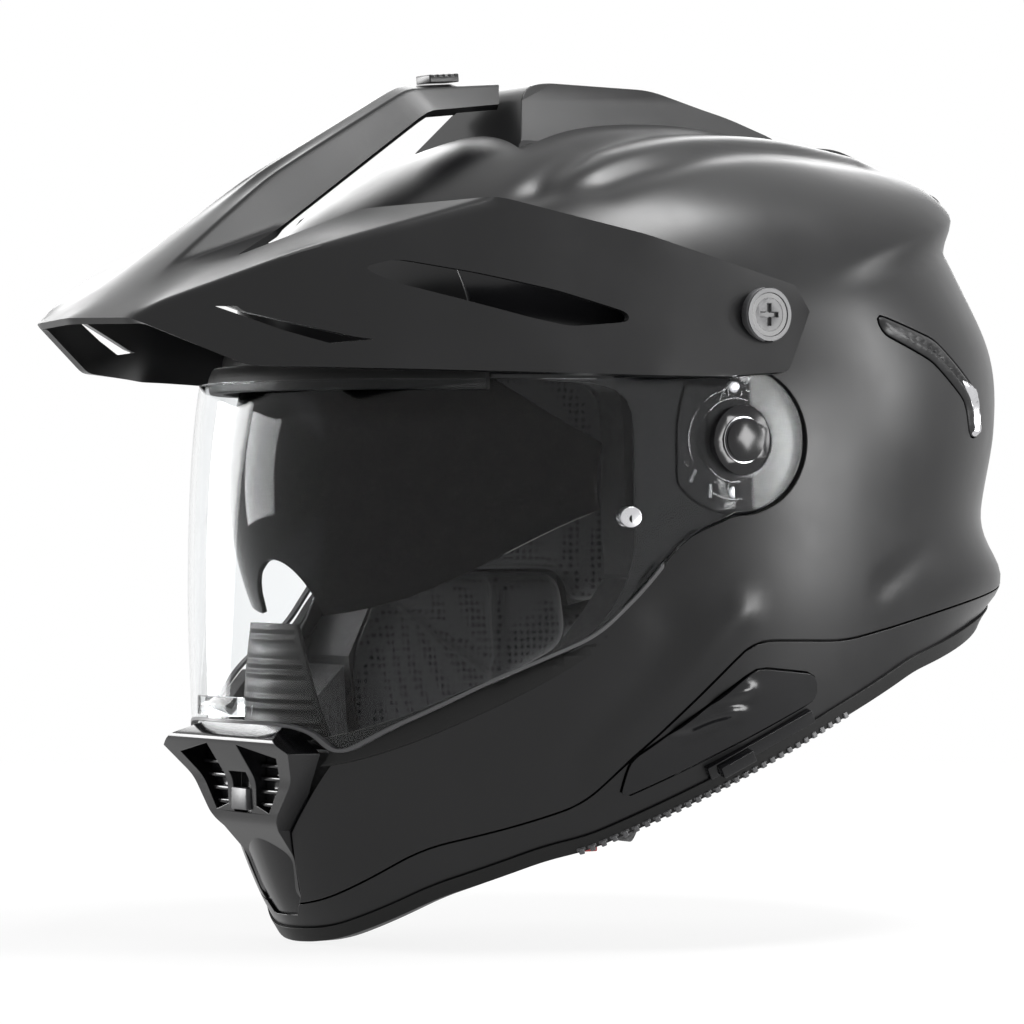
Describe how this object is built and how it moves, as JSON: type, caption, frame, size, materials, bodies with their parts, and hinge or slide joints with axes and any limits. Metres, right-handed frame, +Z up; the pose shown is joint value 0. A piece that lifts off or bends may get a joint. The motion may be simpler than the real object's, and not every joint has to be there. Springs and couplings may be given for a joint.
{
  "type": "dual sport helmet",
  "caption": "full face helmet for road and trail with a bolted sun peak, a clear hinged face shield, a drop-down smoke visor, vents and a padded lining",
  "frame": {"origin": "the centre of the wearer's head, on the mid plane, where the head cavity mount sits", "axes": "+Z up as worn with the chin a little low, the face looks along -Y, the wearer's left is +X"},
  "size_m": [0.2612, 0.3829, 0.3244],
  "materials": {
    "matte_black": "matte black lacquer",
    "gloss_black": "gloss black moulding",
    "grey_plastic": "grey satin moulding",
    "black_rubber": "soft black rubber",
    "clear_shield": "clear polycarbonate",
    "smoke_visor": "dark smoke polycarbonate",
    "foam_black": "moulded polystyrene foam, black",
    "lining_fabric": "dark grey mesh lining",
    "webbing": "woven black webbing",
    "red_webbing": "woven red webbing",
    "steel": "bright steel"
  },
  "bodies": {
    "helmet": {"base_plate_screws": "steel", "breath_guard": "black_rubber", "cheek_foam_left": "foam_black", "cheek_foam_right": "foam_black", "cheek_pad_left": "lining_fabric", "cheek_pad_right": "lining_fabric", "chin_curtain": "lining_fabric", "chin_foam": "foam_black", "chin_strap_left": "webbing", "chin_strap_right": "webbing", "chin_vent_grille_left": "gloss_black", "chin_vent_grille_right": "gloss_black", "chin_vent_housing": "matte_black", "crown_foam": "foam_black", "crown_pad": "lining_fabric", "exhaust_trim_left": "grey_plastic", "exhaust_trim_right": "grey_plastic", "eyeport_gasket": "black_rubber", "lever_track": "gloss_black", "lower_skirt": "matte_black", "neck_roll": "lining_fabric", "outer_shell": "matte_black", "peak": "matte_black", "peak_grommet_left": "grey_plastic", "peak_grommet_right": "grey_plastic", "pod_cover_left": "matte_black", "pod_cover_right": "matte_black", "pull_tab_left": "red_webbing", "pull_tab_right": "red_webbing", "rear_vent_housing": "matte_black", "rim_trim": "black_rubber", "shield_base_plate_left": "gloss_black", "shield_base_plate_right": "gloss_black", "strap_buckle": "steel", "strap_rivet_left": "steel", "strap_rivet_right": "steel", "strap_tongue": "steel", "top_vent_housing": "matte_black"},
    "shield": {"face_shield": "clear_shield", "lens_pins": "steel", "shield_tab": "clear_shield", "shield_hub_left": "gloss_black", "shield_hub_right": "gloss_black"},
    "inner_visor": {"sun_visor": "smoke_visor", "sun_visor_arms": "gloss_black"},
    "visor_lever": {"sun_visor_lever": "gloss_black"},
    "vent_shutter": {"chin_vent_shutter": "grey_plastic"},
    "peak_vent_slider": {"peak_slider": "matte_black"},
    "fastener_left": {"peak_fastener_left": "grey_plastic"},
    "fastener_right": {"peak_fastener_right": "grey_plastic"}
  },
  "joints": [
    {"name": "shield_hinge", "type": "hinge", "parent": "helmet", "child": "shield", "pos_m": [0, -0.0177, 0.0272], "axis": [-1, 0, 0], "range_deg": [0, 34]},
    {"name": "inner_visor_hinge", "type": "hinge", "parent": "helmet", "child": "inner_visor", "pos_m": [0, -0.02, 0.012], "axis": [-1, 0, 0], "range_deg": [0, 44]},
    {"name": "visor_lever_slide", "type": "slide", "parent": "helmet", "child": "visor_lever", "axis": [0.1954, 0.8725, 0.4478], "range_m": [0, 0.025]},
    {"name": "vent_shutter_slide", "type": "slide", "parent": "helmet", "child": "vent_shutter", "axis": [0, 0, 1], "range_m": [0, 0.005]},
    {"name": "peak_slider_slide", "type": "slide", "parent": "helmet", "child": "peak_vent_slider", "axis": [0, 0.9964, 0.0849], "range_m": [0, 0.006]},
    {"name": "fastener_left_turn", "type": "hinge", "parent": "helmet", "child": "fastener_left", "pos_m": [0.12, -0.008, 0.0726], "axis": [1, 0, 0], "range_deg": [0, 90]},
    {"name": "fastener_right_turn", "type": "hinge", "parent": "helmet", "child": "fastener_right", "pos_m": [-0.12, -0.008, 0.0726], "axis": [-1, 0, 0], "range_deg": [0, 90]}
  ],
  "couplings": [
    {"joint": "visor_lever_slide", "follows": "inner_visor_hinge", "m_per_rad": 0.032554}
  ]
}
